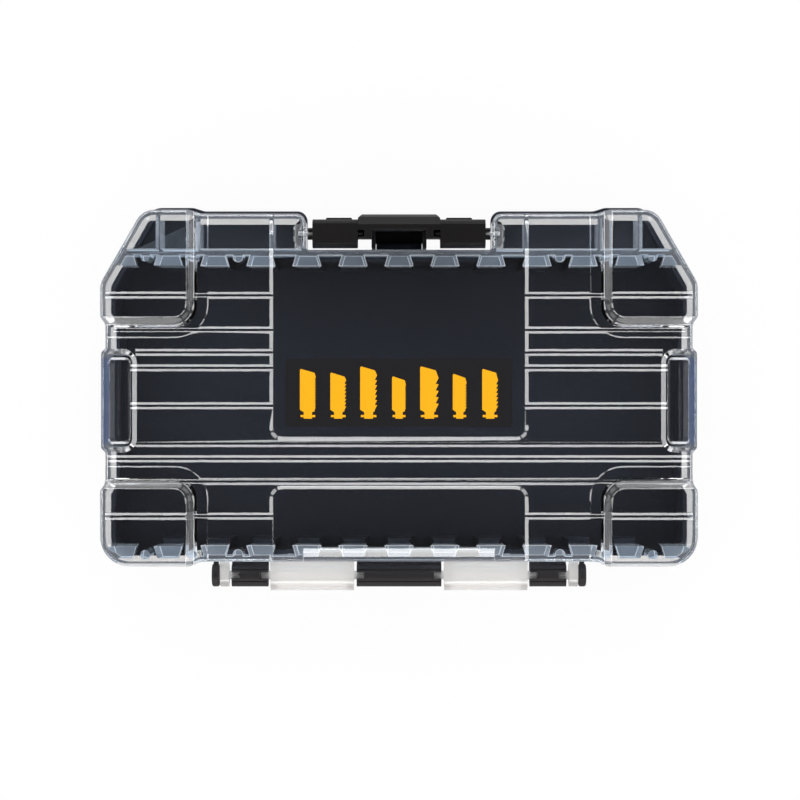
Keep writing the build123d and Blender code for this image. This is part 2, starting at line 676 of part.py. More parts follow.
PIECES = {
    "base_tray": base_tray,
    "tray_shoulder_left": tray_shoulder_left,
    "tray_shoulder_right": tray_shoulder_right,
    "lid_shell": lid_shell,
    "lid_shoulder_left": lid_shoulder_left,
    "lid_shoulder_right": lid_shoulder_right,
    "latch": make_latch(),
    "latch_pin_left": latch_pin(-1),
    "latch_pin_right": latch_pin(1),
    "contents_label": make_label(),
}

for name, piece in PIECES.items():
    export_step(piece, f"parts/{name}.step")
    print(name, len(piece.solids()), round(piece.volume), piece.bounding_box())
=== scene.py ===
# %% [markdown]
# # A storage case for saw blades
# The case is a black moulded tray, a deep clear lid that hinges along the back, and a swing
# latch at the front. The measured model gives every wall and its place. This lesson gives
# each moulding its finish, prints the label, and sets the case on a pale table under soft
# light. Everything is in metres, with +Z up, the latch at -Y and the hinge at +Y.

# %% Load the measured model
import math

import bmesh
import bpy
import numpy as np
from mathutils.bvhtree import BVHTree
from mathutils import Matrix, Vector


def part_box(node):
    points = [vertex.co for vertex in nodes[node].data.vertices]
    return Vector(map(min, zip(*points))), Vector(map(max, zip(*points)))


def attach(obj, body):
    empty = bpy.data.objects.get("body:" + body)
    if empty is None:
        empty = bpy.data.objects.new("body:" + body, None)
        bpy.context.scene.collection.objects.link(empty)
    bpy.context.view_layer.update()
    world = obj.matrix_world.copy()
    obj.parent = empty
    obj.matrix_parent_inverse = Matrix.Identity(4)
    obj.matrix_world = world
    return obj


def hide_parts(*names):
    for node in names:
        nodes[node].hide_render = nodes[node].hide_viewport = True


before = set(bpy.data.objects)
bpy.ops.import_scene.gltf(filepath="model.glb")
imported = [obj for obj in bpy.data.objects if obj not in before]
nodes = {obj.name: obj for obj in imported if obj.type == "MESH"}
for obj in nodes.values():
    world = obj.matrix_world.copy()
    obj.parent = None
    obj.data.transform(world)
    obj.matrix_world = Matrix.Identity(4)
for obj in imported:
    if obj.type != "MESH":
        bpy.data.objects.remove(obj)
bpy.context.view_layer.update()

MM = 0.001

# %% [markdown]
# ## Colours and nodes
# Colours are written as the hex values that a screen shows. Shaders count light, so each
# value is turned to linear first. One small function adds a shader node with its settings
# and its links, which keeps every material below short enough to read as a recipe.

# %% Colour and node helpers
def linear(hex_colour):
    """Linear red, green, blue, alpha of an sRGB hex value: a short straight toe, then a power of 2.4."""
    srgb = np.array([int(hex_colour[i:i + 2], 16) for i in (1, 3, 5)]) / 255
    rgb = np.where(srgb <= 0.04045, srgb / 12.92, ((srgb + 0.055) / 1.055) ** 2.4)
    return (*map(float, rgb), 1.0)


def add(tree, kind, sets=None, **inputs):
    """One node of the given kind. sets are its own settings; an input takes a value or another socket."""
    node = tree.nodes.new(kind)
    for key, value in (sets or {}).items():
        setattr(node, key, value)
    for key, value in inputs.items():
        name = key.replace("_", " ")
        socket = node.inputs[int(key[1:])] if key[0] == "i" and key[1:].isdigit() else node.inputs[name]
        if isinstance(value, bpy.types.NodeSocket):
            tree.links.new(value, socket)
        else:
            socket.default_value = value
    return node


def new_material(name):
    """An empty node material and its output node."""
    material = bpy.data.materials.new(name)
    material.use_nodes = True
    material.node_tree.nodes.clear()
    return material, material.node_tree


# %% [markdown]
# ## A smooth copy of a moulding
# The measured mesh is loose triangles, one patch for each face. A real moulding is one skin
# with small rounded edges, and those edges catch the light as fine bright lines. So a copy
# is merged into one closed skin, its flat areas are joined into whole faces, and only edges
# sharper than a chosen angle stay crisp.

# %% Copy, merge and smooth measured pieces
LID_EDGE = 0.04
TRAY_EDGE = 0.25
LATCH_EDGE = 0.25
RAIL_EDGE = 0.22
KNUCKLE_EDGE = 0.4
RAILS_MIDDLE, RAILS_HALF, RAILS_OUTER = 2.7 * MM, 55.5 * MM, 63.1 * MM
WELD = 2e-6
RIM_WELD = 7e-5
ENDS_Z = 29.5 * MM
ROOTS_Z = np.array([43.8, 44.8]) * MM
NARROW_SHARE = 0.4
STRAIGHT = math.radians(140)
LEAST = 0.03 * MM
ROUNDS = 30
FLAT = math.radians(0.6)
HINGE_SIDE = 65.6 * MM


def on_rails(place):
    """Whether a place in metres lies on the front or the rear rail of teeth."""
    return RAILS_HALF < abs(place.y - RAILS_MIDDLE) < RAILS_OUTER


def room_beside(line, kept):
    """The widest rounding in metres that fits an edge, from the four edges that meet it in its two faces.

    Where the next edge is rounded too, the two roundings meet on the corner's bisector. Where
    it is not, the rounding ends somewhere along it. Either way it stays short of the middle.
    """
    room = 1.0
    for face in line.link_faces:
        for corner in line.verts:
            after = next(e for e in corner.link_edges if e is not line and face in e.link_faces)
            ahead = line.other_vert(corner).co - corner.co
            beside = after.other_vert(corner).co - corner.co
            turn = ahead.angle(beside)
            if after in kept:
                limit = min(ahead.length, beside.length) * math.tan(min(turn, 3.1) / 2)
            else:
                limit = beside.length * math.sin(turn)
            room = min(room, NARROW_SHARE * limit)
    return room


def even_runs(widths):
    """Give every nearly straight run of rounded edges the width of its narrowest edge."""
    changed = True
    while changed:
        changed = False
        for line, width in list(widths.items()):
            for corner in line.verts:
                for after in corner.link_edges:
                    if after is line or after not in widths or widths[after] <= width:
                        continue
                    ahead = line.other_vert(corner).co - corner.co
                    if ahead.angle(after.other_vert(corner).co - corner.co) > STRAIGHT:
                        widths[after] = width
                        changed = True


def lid_edge(ends):
    """How wide in mm the lid rounds an edge: wider on the knuckles, and at the ends and roots of the teeth."""
    if all(co.y > HINGE_SIDE for co in ends):
        return KNUCKLE_EDGE
    tooth = all(on_rails(co) and (co.z < ENDS_Z or ROOTS_Z[0] < co.z < ROOTS_Z[1]) for co in ends)
    return RAIL_EDGE if tooth else LID_EDGE


def weigh_edges(bm, sharp, width_of, widest):
    """Store how wide each sharp edge is rounded, as a share of the widest. One with no room stays sharp."""
    layer = bm.edges.layers.float.new("bevel_weight_edge")
    widths = {}
    for line in bm.edges:
        if line.is_manifold and line.calc_face_angle() > math.radians(sharp):
            widths[line] = width_of([v.co for v in line.verts]) * MM
    for turn in range(ROUNDS):
        widths = {line: min(width, room_beside(line, widths)) for line, width in widths.items()}
        even_runs(widths)
        kept = {line: width for line, width in widths.items() if width > LEAST}
        if len(kept) == len(widths):
            break
        widths = kept
    for line, width in widths.items():
        line[layer] = width / MM / widest
    return len(widths)


def welded_copy(node_names, name, sharp, width_of, widest, cuts=()):
    """One closed skin from measured nodes. Nodes that meet face to face lose both faces of the cut.

    cuts are (axis, place in metres): a face goes if all its corners lie on such a plane.
    """
    bm = bmesh.new()
    for node_name in node_names:
        bm.from_mesh(nodes[node_name].data)
    bmesh.ops.remove_doubles(bm, verts=bm.verts, dist=WELD)
    bmesh.ops.dissolve_degenerate(bm, edges=bm.edges, dist=WELD)
    inner = [
        face
        for face in bm.faces
        if any(all(abs(v.co[axis] - place) < WELD for v in face.verts) for axis, place in cuts)
    ]
    bmesh.ops.delete(bm, geom=inner, context="FACES")
    rim = list({v for line in bm.edges if not line.is_manifold for v in line.verts})
    bmesh.ops.remove_doubles(bm, verts=rim, dist=RIM_WELD)
    bmesh.ops.dissolve_limit(bm, angle_limit=FLAT, verts=bm.verts, edges=bm.edges)
    open_edges = sum(1 for e in bm.edges if not e.is_manifold)
    wide = weigh_edges(bm, sharp, width_of, widest)
    mesh = bpy.data.meshes.new(name)
    bm.to_mesh(mesh)
    bm.free()
    print(name, len(mesh.polygons), "faces,", len(inner), "cut faces removed,", open_edges, "open,", wide, "rounded edges")
    return mesh


def keep_crisp(mesh, sharp):
    """Mark an edge as crisp where two measured faces, which lie in the first slot, meet at over `sharp` degrees."""
    bm = bmesh.new()
    bm.from_mesh(mesh)
    crisp = [
        line.is_manifold
        and all(face.material_index == 0 for face in line.link_faces)
        and line.calc_face_angle() > math.radians(sharp)
        for line in bm.edges
    ]
    bm.free()
    marks = mesh.attributes.get("sharp_edge") or mesh.attributes.new("sharp_edge", "BOOLEAN", "EDGE")
    marks.data.foreach_set("value", crisp)


def skin_of(node_names, name, materials, body, width_of, widest, sharp=28.0, cuts=()):
    """A welded skin that stands for measured nodes, with the rounded edges that width_of gives in mm.

    materials are that of the measured faces and that of the rounded edges.
    """
    mesh = welded_copy(node_names, name, sharp, width_of, widest, cuts)
    mesh.shade_smooth()
    for material in materials:
        mesh.materials.append(material)
    piece = bpy.data.objects.new(name, mesh)
    bpy.context.scene.collection.objects.link(piece)
    bevel = piece.modifiers.new("moulded edge", "BEVEL")
    bevel.width = widest * MM
    bevel.segments = 2
    bevel.limit_method = "WEIGHT"
    bevel.use_clamp_overlap = False
    bevel.material = 1
    rounded = piece.evaluated_get(bpy.context.evaluated_depsgraph_get())
    piece.data = bpy.data.meshes.new_from_object(rounded)
    piece.modifiers.clear()
    keep_crisp(piece.data, sharp)
    even = piece.modifiers.new("flat faces stay flat", "WEIGHTED_NORMAL")
    even.keep_sharp = True
    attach(piece, body)
    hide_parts(*node_names)
    return piece


# %% [markdown]
# ## Clear polycarbonate
# The lid is injection moulded polycarbonate. It bends light strongly, with an index of 1.585,
# and a hard coat adds a second bright reflection. The outside is polished. The upright walls,
# the webs and the ends of the teeth take a pale matt share, which is painted glow: it stands in
# for light carried inside the clear plastic, so a wall that is seen from its edge glows a soft
# blue grey, while the face stays clear. The rounded edges on the rails scatter white, which is
# a painted highlight. Rays from lamps pass straight through the plastic, so that the tray inside
# is lit.

# %% Clear lid material
POCKET = np.array([[106.9, -17.6, 27.0], [116.3, 19.0, 29.5]]) * MM
GATE = np.array([[116.3, -16.8, 27.0], [119.9, 18.2, 28.5]]) * MM
# A bluer tint for the painted glow on the wall outside the finger pockets.
GATE_PAINTED_GLOW_TINT = "#a3b8e6"
# Share of white on the rails' rounded edges, which is a painted highlight.
PAINTED_HIGHLIGHT_SHARE = 0.85


def outside_box(tree, place, box):
    """0 in the box or in its mirror image across X = 0, else 1: the largest |p - middle| / half size passes 1."""
    middle, half = box.mean(0), (box[1] - box[0]) / 2
    mirrored = add(tree, "ShaderNodeVectorMath", {"operation": "ABSOLUTE"}, i0=place)
    signs = add(tree, "ShaderNodeSeparateXYZ", Vector=mirrored.outputs[0])
    plain = add(tree, "ShaderNodeSeparateXYZ", Vector=place)
    folded = add(
        tree, "ShaderNodeCombineXYZ", X=signs.outputs[0], Y=plain.outputs[1], Z=plain.outputs[2]
    )
    apart = add(tree, "ShaderNodeVectorMath", {"operation": "SUBTRACT"}, i0=folded.outputs[0], i1=middle)
    apart = add(tree, "ShaderNodeVectorMath", {"operation": "DIVIDE"}, i0=apart.outputs[0], i1=half)
    apart = add(tree, "ShaderNodeVectorMath", {"operation": "ABSOLUTE"}, i0=apart.outputs[0])
    sides = add(tree, "ShaderNodeSeparateXYZ", Vector=apart.outputs[0])
    most = add(tree, "ShaderNodeMath", {"operation": "MAXIMUM"}, i0=sides.outputs[0], i1=sides.outputs[1])
    most = add(tree, "ShaderNodeMath", {"operation": "MAXIMUM"}, i0=most.outputs[0], i1=sides.outputs[2])
    return add(tree, "ShaderNodeMath", {"operation": "GREATER_THAN"}, i0=most.outputs[0], i1=1.0).outputs[0]


def rail_strips(tree, place):
    """1 on the two rails of teeth, else 0: the distance from the line midway between them is in range."""
    parts = add(tree, "ShaderNodeSeparateXYZ", Vector=place)
    apart = add(tree, "ShaderNodeMath", {"operation": "SUBTRACT"}, i0=parts.outputs[1], i1=RAILS_MIDDLE)
    apart = add(tree, "ShaderNodeMath", {"operation": "ABSOLUTE"}, i0=apart.outputs[0])
    near = add(tree, "ShaderNodeMath", {"operation": "LESS_THAN"}, i0=apart.outputs[0], i1=RAILS_OUTER)
    far = add(tree, "ShaderNodeMath", {"operation": "GREATER_THAN"}, i0=apart.outputs[0], i1=RAILS_HALF)
    return add(tree, "ShaderNodeMath", {"operation": "MULTIPLY"}, i0=near.outputs[0], i1=far.outputs[0]).outputs[0]


def clear_polycarbonate(name, lines=False):
    """Refracting plastic with a pale matt share on some faces, and a clear filter for lamp light.

    A colour attribute on the faces holds the tint of the matt share, and its alpha holds how much
    there is. The matt share is painted glow, which stands in for light carried inside the clear
    plastic. With lines, the surface also scatters white on the rails, a painted highlight along
    their rounded edges.
    """
    material, tree = new_material(name)
    place = add(tree, "ShaderNodeTexCoord").outputs["Object"]
    flow = add(tree, "ShaderNodeTexNoise", Vector=place, Scale=60.0, Detail=2.0)
    haze = add(tree, "ShaderNodeMapRange", Value=flow.outputs["Fac"], To_Min=0.004, To_Max=0.03)
    ripple = add(tree, "ShaderNodeBump", Strength=0.05, Distance=0.2 * MM, Height=flow.outputs["Fac"])
    body = add(
        tree,
        "ShaderNodeBsdfPrincipled",
        Base_Color=linear("#f6f7f8"),
        Roughness=haze.outputs["Result"],
        IOR=1.585,
        Transmission_Weight=1.0,
        Coat_Weight=1.0,
        Coat_Roughness=0.03,
        Coat_IOR=1.5,
        Normal=ripple.outputs["Normal"],
    )
    painted_glow = add(tree, "ShaderNodeAttribute", {"attribute_name": "painted_glow"})
    share = add(
        tree, "ShaderNodeMath", {"operation": "MULTIPLY"}, i0=painted_glow.outputs["Alpha"], i1=outside_box(tree, place, POCKET)
    ).outputs[0]
    tint = add(
        tree,
        "ShaderNodeMix",
        {"data_type": "RGBA"},
        i0=outside_box(tree, place, GATE),
        i6=linear(GATE_PAINTED_GLOW_TINT),
        i7=painted_glow.outputs["Color"],
    ).outputs[2]
    if lines:
        # Painted highlight: the rounded edges on the rails scatter white.
        strips = rail_strips(tree, place)
        painted_highlight = add(tree, "ShaderNodeMath", {"operation": "MULTIPLY"}, i0=strips, i1=PAINTED_HIGHLIGHT_SHARE)
        share = add(tree, "ShaderNodeMath", {"operation": "MAXIMUM"}, i0=share, i1=painted_highlight.outputs[0]).outputs[0]
        tint = add(
            tree, "ShaderNodeMix", {"data_type": "RGBA"}, i0=strips, i6=tint, i7=linear("#f4f6f8")
        ).outputs[2]
    grain = add(tree, "ShaderNodeTexNoise", Vector=place, Scale=2500.0, Detail=2.0)
    cut = add(
        tree,
        "ShaderNodeMix",
        {"data_type": "RGBA", "blend_type": "MULTIPLY"},
        i0=grain.outputs["Fac"],
        i6=tint,
        i7=linear("#e4e4e4"),
    )
    # The pale matt share is painted glow, and on the rails' rounded edges a painted highlight.
    matt = add(tree, "ShaderNodeBsdfDiffuse", Color=cut.outputs[2])
    through = add(tree, "ShaderNodeBsdfTranslucent", Color=cut.outputs[2])
    painted_glow_layer = add(tree, "ShaderNodeMixShader", i0=0.5, i1=matt.outputs[0], i2=through.outputs[0])
    seen = add(tree, "ShaderNodeMixShader", i0=share, i1=body.outputs[0], i2=painted_glow_layer.outputs[0])
    lamp_way = add(tree, "ShaderNodeBsdfTransparent", Color=linear("#f0f4f8"))
    path = add(tree, "ShaderNodeLightPath")
    mixed = add(
        tree,
        "ShaderNodeMixShader",
        i0=path.outputs["Is Shadow Ray"],
        i1=seen.outputs[0],
        i2=lamp_way.outputs[0],
    )
    add(tree, "ShaderNodeOutputMaterial", Surface=mixed.outputs[0])
    return material


clear = clear_polycarbonate("polycarbonate injection moulded clear")
# The rounded edges take the same plastic with painted highlights on the rails.
clear_edge = clear_polycarbonate("polycarbonate moulded rounded edge", lines=True)
print("made", clear.name, "and", clear_edge.name)

# %% [markdown]
# ## Black polypropylene
# The tray is moulded in tough black polypropylene with a fine spark-eroded grain. The grain
# is a few tenths of a millimetre wide and shows as a soft, even sheen. The same grain on the
# latch is finer, because it is moulded in stiffer acetal.

# %% Grained black plastic
def grained_plastic(name, base, light, grain_mm, roughness, depth, zoned=False):
    """Black moulded plastic: a base colour, a fine bumpy grain, and a slow change of sheen.

    With zoned, a colour attribute on the faces gives the knuckles a warmer tone and paints the shoulder decks paler,
    which is painted light.
    """
    material, tree = new_material(name)
    place = add(tree, "ShaderNodeTexCoord").outputs["Object"]
    grain = add(tree, "ShaderNodeTexNoise", Vector=place, Scale=1 / (grain_mm * MM), Detail=3.0)
    slow = add(tree, "ShaderNodeTexNoise", Vector=place, Scale=18.0, Detail=2.0)
    tone = add(
        tree,
        "ShaderNodeMix",
        {"data_type": "RGBA"},
        i0=slow.outputs["Fac"],
        i6=linear(base),
        i7=linear(light),
    )
    colour = tone.outputs[2]
    # The tone attribute gives the knuckles a warmer tone and paints the shoulder decks paler, which is painted light.
    if zoned:
        tone_and_painted_light = add(tree, "ShaderNodeAttribute", {"attribute_name": "tone_and_painted_light"})
        colour = add(
            tree,
            "ShaderNodeMix",
            {"data_type": "RGBA"},
            i0=tone_and_painted_light.outputs["Alpha"],
            i6=colour,
            i7=tone_and_painted_light.outputs["Color"],
        ).outputs[2]
    sheen = add(
        tree,
        "ShaderNodeMapRange",
        Value=slow.outputs["Fac"],
        To_Min=roughness - 0.05,
        To_Max=roughness + 0.05,
    )
    bump = add(
        tree, "ShaderNodeBump", Strength=0.5, Distance=depth * MM, Height=grain.outputs["Fac"]
    )
    body = add(
        tree,
        "ShaderNodeBsdfPrincipled",
        Base_Color=colour,
        Roughness=sheen.outputs["Result"],
        IOR=1.49,
        Specular_IOR_Level=0.25,
        Normal=bump.outputs["Normal"],
    )
    add(tree, "ShaderNodeOutputMaterial", Surface=body.outputs[0])
    return material


tray_black = grained_plastic("polypropylene moulded spark grain", "#151820", "#1a1d27", 0.5, 0.5, 0.04, True)
latch_black = grained_plastic("acetal moulded fine grain", "#100e0f", "#151314", 0.35, 0.45, 0.03)

# %% [markdown]
# ## Drawn steel, film and ink
# The latch turns on two short steel pins cut from drawn wire, which has fine lines along its
# length. The label is a thin printed film: a near-black satin ground with yellow ink.

# %% Pin, film and ink materials
def drawn_steel():
    """Bright wire: noise stretched along X makes the drawing lines."""
    material, tree = new_material("steel drawn wire")
    place = add(tree, "ShaderNodeTexCoord").outputs["Object"]
    along = add(tree, "ShaderNodeMapping", Vector=place, Scale=(200.0, 9000.0, 9000.0))
    lines = add(tree, "ShaderNodeTexNoise", Vector=along.outputs[0], Scale=1.0, Detail=2.0)
    rough = add(tree, "ShaderNodeMapRange", Value=lines.outputs["Fac"], To_Min=0.35, To_Max=0.55)
    body = add(
        tree,
        "ShaderNodeBsdfPrincipled",
        Base_Color=linear("#d6d5d2"),
        Metallic=1.0,
        Roughness=rough.outputs["Result"],
    )
    add(tree, "ShaderNodeOutputMaterial", Surface=body.outputs[0])
    return material


def satin_film(name, base, light, roughness):
    """A smooth printed layer with a slightly mottled tone, as ink on film has."""
    material, tree = new_material(name)
    place = add(tree, "ShaderNodeTexCoord").outputs["Object"]
    mottle = add(tree, "ShaderNodeTexNoise", Vector=place, Scale=900.0, Detail=3.0)
    tone = add(
        tree,
        "ShaderNodeMix",
        {"data_type": "RGBA"},
        i0=mottle.outputs["Fac"],
        i6=linear(base),
        i7=linear(light),
    )
    rough = add(
        tree,
        "ShaderNodeMapRange",
        Value=mottle.outputs["Fac"],
        To_Min=roughness - 0.04,
        To_Max=roughness + 0.04,
    )
    body = add(
        tree,
        "ShaderNodeBsdfPrincipled",
        Base_Color=tone.outputs[2],
        Roughness=rough.outputs["Result"],
        IOR=1.5,
        Specular_IOR_Level=0.3,
    )
    add(tree, "ShaderNodeOutputMaterial", Surface=body.outputs[0])
    return material


steel = drawn_steel()
film = satin_film("polyester film printed black", "#1b1a1c", "#201f21", 0.4)
ink = satin_film("screen ink yellow", "#f2aa12", "#f8b31a", 0.45)

# %% [markdown]
# ## Dress the mouldings
# Each moulding gets its smooth skin. The pins and the label film are already the right
# shape, so they only take a material.

# %% Skins and plain materials
SHOULDER_CUTS = ((1, -59.0 * MM), (0, -35.9 * MM), (0, 35.9 * MM))
tray_nodes = ["base_tray", "tray_shoulder_left", "tray_shoulder_right"]
lid_nodes = ["lid_shell", "lid_shoulder_left", "lid_shoulder_right"]
lid = skin_of(
    lid_nodes,
    "clear_lid",
    [clear, clear_edge],
    "lid",
    lid_edge,
    KNUCKLE_EDGE,
    sharp=24.0,
    cuts=SHOULDER_CUTS,
)
tray = skin_of(
    tray_nodes,
    "black_tray",
    [tray_black, tray_black],
    "tray",
    lambda ends: TRAY_EDGE,
    TRAY_EDGE,
    cuts=SHOULDER_CUTS,
)
latch = skin_of(
    ["latch"], "swing_latch", [latch_black, latch_black], "latch", lambda ends: LATCH_EDGE, LATCH_EDGE
)
for node_name, material in (("latch_pin_left", steel), ("latch_pin_right", steel), ("contents_label", film)):
    node_mesh = nodes[node_name].data
    if not node_mesh.materials:
        node_mesh.materials.append(material)
    for index in range(len(node_mesh.materials)):
        node_mesh.materials[index] = material

# %% [markdown]
# ## The core's faces, painted glow and painted light
# The inside of the lid is shaped by the core of the mould. A face of the core is upright and
# looks at another wall, where an outer face sees nothing in front of it. The ends of walls
# and teeth, low down and facing down, belong to it as well. Each face is marked with a tint and
# a share of pale matt, which the clear material reads; the share is a painted glow that stands
# in for light carried inside the clear plastic. On the tray, the upward faces of the shoulder
# decks are made paler, which is painted light, and the knuckles warmer.

# %% Mark the painted glow on the lid's faces and the painted light on the tray's decks
UPRIGHT = 0.25
RIM_Z = 28.5 * MM
WEBS = np.array([51.2, 80.8, 96.6]) * MM
# Tints and shares of the pale matt on the lid's faces: painted glow for light carried inside the clear plastic.
RAIL_PAINTED_GLOW = (*linear("#d6dfe9")[:3], 0.42)
ROOTS_Y = 60.0 * MM
PEGS = np.array([64.75, 83.25, 101.75]) * MM
PEG_HALF = 2.0 * MM
TOOTH_PAINTED_GLOW = (*linear("#dfe6ee")[:3], 0.14)
WALL_PAINTED_GLOW = (*linear("#dcdcdf")[:3], 0.3)
WEB_PAINTED_GLOW = (*linear("#d9dee5")[:3], 0.3)
HINGE_PAINTED_GLOW = (*linear("#fdf7f1")[:3], 0.46)
NO_MARK = (0.0, 0.0, 0.0, 0.0)
KNUCKLES_X, KNUCKLES_Y = 78.0 * MM, 64.0 * MM
KNUCKLE_TONE = linear("#232021")
# Painted light: the upward faces of the shoulder decks are given a paler tone.
DECKS_Y, DECKS_Z = -59.5 * MM, 15.0 * MM
DECK_PAINTED_LIGHT = linear("#31333b")


def painted_glow_of(face, walls):
    """Tint and share of the pale matt on one face of the lid: a painted glow for light carried inside the plastic."""
    middle, normal = face.calc_center_median(), face.normal
    if middle.y > HINGE_SIDE:
        return HINGE_PAINTED_GLOW
    if normal.z < -0.9 and middle.z < ENDS_Z:
        return WALL_PAINTED_GLOW if middle.z < RIM_Z else RAIL_PAINTED_GLOW
    if abs(normal.z) > UPRIGHT or walls.ray_cast(middle + normal * WELD, normal)[0] is None:
        return NO_MARK
    if POCKET[0][0] < abs(middle.x) < POCKET[1][0] + WELD and POCKET[0][1] < middle.y < POCKET[1][1]:
        return NO_MARK
    if middle.y < 0 and np.abs(WEBS - abs(middle.x)).min() < 1.2 * MM:
        return WEB_PAINTED_GLOW
    if not on_rails(middle):
        return WALL_PAINTED_GLOW
    if abs(middle.y - RAILS_MIDDLE) > ROOTS_Y:
        return RAIL_PAINTED_GLOW
    return NO_MARK if np.abs(PEGS - abs(middle.x)).min() < PEG_HALF else TOOTH_PAINTED_GLOW


def tone_and_painted_light_of(face, walls):
    """Tone on one face of the tray: paler on the decks of the shoulders, which is painted light, and warmer on the
    knuckles.
    """
    middle = face.calc_center_median()
    if middle.y > KNUCKLES_Y and abs(middle.x) < KNUCKLES_X:
        return KNUCKLE_TONE
    if middle.y < DECKS_Y and middle.z > DECKS_Z and face.normal.z > UPRIGHT:
        return DECK_PAINTED_LIGHT
    return NO_MARK


def mark_faces(piece, attribute, mark_of):
    """A colour attribute on faces: the tint that mark_of gives, with its share as alpha."""
    bm = bmesh.new()
    bm.from_mesh(piece.data)
    walls = BVHTree.FromBMesh(bm)
    marks = np.array([mark_of(face, walls) for face in bm.faces], dtype=np.float32)
    bm.free()
    piece.data.attributes.new(attribute, "FLOAT_COLOR", "FACE").data.foreach_set("color", marks.ravel())
    print(piece.name, "has", int((marks[:, 3] > 0).sum()), "marked faces of", len(marks))


# The lid's faces take painted glow; the tray's shoulder decks take painted light.
mark_faces(lid, "painted_glow", painted_glow_of)
mark_faces(tray, "tone_and_painted_light", tone_and_painted_light_of)

# %% [markdown]
# ## The printed label
# The label shows what the case holds: a row of plain saw blades, each with its own tooth
# size. A blade is one closed outline. It could be drawn by hand, but a formula keeps every
# tooth the same, so the outline is worked out as arrays and then given a little thickness.

# %% Blade outlines on the label
INK_T = 0.05
label_low, label_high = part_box("contents_label")
label_top = label_high.z


def blade_outline(width, length, pitch, tooth):
    """Corner points of one blade in mm, tip up: a shank with two lugs, a back, and a toothed edge.

    The toothed edge steps out and back: each tooth runs from the edge line to `tooth` outside
    it over one pitch, then drops straight back.
    """
    count = int((length - 6.5) / pitch)
    start = 3.6
    k = np.arange(count)
    low = np.stack([np.full(count, width / 2 - tooth), start + k * pitch], 1)
    high = np.stack([np.full(count, width / 2), start + (k + 0.9) * pitch], 1)
    teeth = np.stack([low, high], 1).reshape(-1, 2)
    shank = width * 0.26
    lug = width * 0.46
    foot = np.array([[-shank, 2.6], [-shank, 1.5], [-lug, 1.5], [-lug, 0.6], [-shank, 0.6], [-shank, 0.0]])
    mirrored = foot[::-1] * np.array([-1, 1])
    shoulder = np.array([[width / 2 - tooth, start - 0.6]])
    tip = np.array([[width / 2 - tooth, length - 1.6], [-width / 2 + 0.4, length], [-width / 2, length - 0.4]])
    back = np.array([[-width / 2, start]])
    return np.concatenate([foot[-1:], mirrored, shoulder, teeth, tip, back, foot[:-1]])


def inked_shapes(name, outlines, z0, thickness):
    """Closed flat shapes from outlines in metres: the outline at two heights, joined by a side wall."""
    points, faces, base = [], [], 0
    for outline in outlines:
        n = len(outline)
        ring = np.arange(n)
        after = (ring + 1) % n
        points.append(np.column_stack([outline, np.full(n, z0)]))
        points.append(np.column_stack([outline, np.full(n, z0 + thickness)]))
        faces.append(list(base + n + ring))
        faces.append(list(base + ring[::-1]))
        walls = np.stack([base + ring, base + after, base + n + after, base + n + ring], 1)
        faces += walls.tolist()
        base += 2 * n
    mesh = bpy.data.meshes.new(name)
    mesh.from_pydata(np.concatenate(points).tolist(), [], [list(map(int, f)) for f in faces])
    bm = bmesh.new()
    bm.from_mesh(mesh)
    bmesh.ops.recalc_face_normals(bm, faces=bm.faces)
    bm.to_mesh(mesh)
    bm.free()
    piece = bpy.data.objects.new(name, mesh)
    bpy.context.scene.collection.objects.link(piece)
    return piece


BLADES = [(6.4, 20.0, 1.1, 0.5), (6.4, 18.5, 1.5, 0.7), (6.8, 21.0, 2.0, 0.9), (5.6, 17.0, 0.9, 0.45),
          (7.4, 21.0, 2.6, 1.15), (5.6, 18.0, 1.2, 0.6), (6.4, 20.0, 1.7, 0.8)]
centre = np.array([(label_low.x + label_high.x) / 2, (label_low.y + label_high.y) / 2]) / MM
outlines = []
for number, (width, length, pitch, tooth) in enumerate(BLADES):
    shape = blade_outline(width, length, pitch, tooth)
    shape[:, 0] += (number - (len(BLADES) - 1) / 2) * 12.2
    shape[:, 1] -= 10.5
    outlines.append((centre - shape) * MM)
print_piece = inked_shapes("label_print", outlines, label_top, INK_T * MM)
print_piece.data.materials.append(ink)
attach(print_piece, "lid")
print(len(outlines), "blades printed at", round(label_top / MM, 3), "mm")

# %% [markdown]
# ## Table, light and camera
# The table is plain and pale. For the camera it glows at full white, and for rays that reach
# it through the clear lid it glows less. Only a small part of it takes shadow, so the case keeps
# a faint shadow. Two wide soft boxes stand in front of and behind the case. The ceiling is
# dark, so the flat tops stay clear and only slopes and edges shine.

# %% Table
GLOW_SHARE = 0.94
GLOW_THROUGH = 0.68


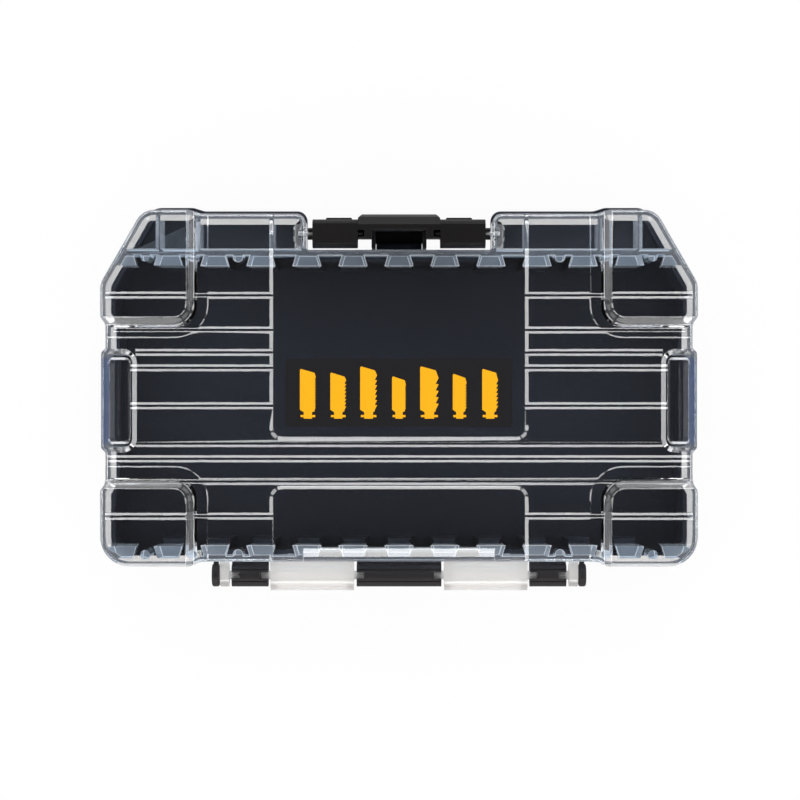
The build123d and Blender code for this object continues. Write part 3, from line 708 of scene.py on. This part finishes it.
def pale_table():
    """A flat square of 8 m, lit mostly by its own glow for rays that come from the eye."""
    mesh = bpy.data.meshes.new("table")
    half = 4.0
    mesh.from_pydata([(-half, -half, 0), (half, -half, 0), (half, half, 0), (-half, half, 0)], [], [(0, 1, 2, 3)])
    table = bpy.data.objects.new("table", mesh)
    bpy.context.scene.collection.objects.link(table)
    material, tree = new_material("painted board matt white")
    path = add(tree, "ShaderNodeLightPath")
    glossy = add(
        tree,
        "ShaderNodeMath",
        {"operation": "MAXIMUM"},
        i0=path.outputs["Is Camera Ray"],
        i1=path.outputs["Is Glossy Ray"],
    )
    seen = add(
        tree,
        "ShaderNodeMath",
        {"operation": "MAXIMUM"},
        i0=glossy.outputs[0],
        i1=path.outputs["Is Transmission Ray"],
    )
    share = add(tree, "ShaderNodeMath", {"operation": "MULTIPLY"}, i0=seen.outputs[0], i1=GLOW_SHARE)
    matt = add(tree, "ShaderNodeBsdfDiffuse", Color=linear("#f2f2f2"))
    level = add(
        tree,
        "ShaderNodeMapRange",
        Value=path.outputs["Is Camera Ray"],
        To_Min=GLOW_THROUGH,
        To_Max=1.0,
    )
    glow = add(tree, "ShaderNodeEmission", Color=(1.0, 1.0, 1.0, 1.0), Strength=level.outputs["Result"])
    mixed = add(tree, "ShaderNodeMixShader", i0=share.outputs[0], i1=matt.outputs[0], i2=glow.outputs[0])
    add(tree, "ShaderNodeOutputMaterial", Surface=mixed.outputs[0])
    mesh.materials.append(material)
    return table


pale_table()

# %% World
def studio_world():
    """White to the camera. To the object: a pale horizon, a soft ring above it, a dark ceiling."""
    world = bpy.data.worlds.new("studio")
    world.use_nodes = True
    bpy.context.scene.world = world
    tree = world.node_tree
    tree.nodes.clear()
    direction = add(tree, "ShaderNodeTexCoord").outputs["Generated"]
    parts = add(tree, "ShaderNodeSeparateXYZ", Vector=direction)
    ring = add(tree, "ShaderNodeValToRGB", Fac=parts.outputs["Z"])
    ramp = ring.color_ramp
    ramp.interpolation = "EASE"
    for stop, (height, level) in zip((ramp.elements[0], ramp.elements[1]), ((0.0, 0.5), (1.0, 0.05))):
        stop.position, stop.color = height, (level, level, level, 1.0)
    for height, level in ((0.1, 0.3), (0.3, 0.35), (0.62, 0.45), (0.75, 0.08)):
        stop = ramp.elements.new(height)
        stop.color = (level, level, level, 1.0)
    path = add(tree, "ShaderNodeLightPath")
    seen = add(
        tree,
        "ShaderNodeMix",
        {"data_type": "FLOAT"},
        i0=path.outputs["Is Camera Ray"],
        i2=ring.outputs["Color"],
        i3=1.0,
    )
    glow = add(tree, "ShaderNodeBackground", Strength=seen.outputs[0])
    add(tree, "ShaderNodeOutputWorld", Surface=glow.outputs[0])


studio_world()

# %% Soft boxes
BOX_HEIGHT = 0.69
CARD_HEIGHT = 0.32
SLANT = math.sqrt(0.5)


def soft_box(name, place, width, height, radiance):
    """A rectangular soft box that faces the case. Its watts are radiance times pi times its area."""
    lamp = bpy.data.lights.new(name, "AREA")
    lamp.shape = "RECTANGLE"
    lamp.size, lamp.size_y = width, height
    lamp.energy = radiance * math.pi * width * height
    box = bpy.data.objects.new(name, lamp)
    box.location = place
    box.rotation_euler = (-box.location).to_track_quat("-Z", "Y").to_euler()
    bpy.context.scene.collection.objects.link(box)


for name, side in (("front", -1), ("rear", 1)):
    soft_box(name + "_box", (0, side, BOX_HEIGHT), 0.7, 0.36, 5.6)
    soft_box(name + "_low_card", (0, 1.2 * side, CARD_HEIGHT), 1.0, 0.24, 1.8)
    for word, way in (("left", 1), ("right", -1)):
        place = np.array([way * SLANT, side * SLANT])
        soft_box(name + "_" + word + "_box", (*place, BOX_HEIGHT), 0.6, 0.32, 4.0)
        soft_box(name + "_" + word + "_low_card", (*(1.2 * place), CARD_HEIGHT), 0.6, 0.24, 0.9)
for word, way in (("left", 1), ("right", -1)):
    soft_box(word + "_box", (way, 0, BOX_HEIGHT), 0.54, 0.36, 5.2)
    soft_box(word + "_low_card", (1.2 * way, 0, CARD_HEIGHT), 0.8, 0.24, 1.0)

# %% Camera
camera_data = bpy.data.cameras.new("camera")
camera_data.lens = 112.5
camera_data.sensor_width = 36.0
camera = bpy.data.objects.new("camera", camera_data)
camera.location = (-0.0004, 0.0004, 1.05)
camera.rotation_euler = (0.0, 0.0, math.pi)
bpy.context.scene.collection.objects.link(camera)
bpy.context.scene.camera = camera
bpy.context.scene.view_settings.view_transform = "Standard"
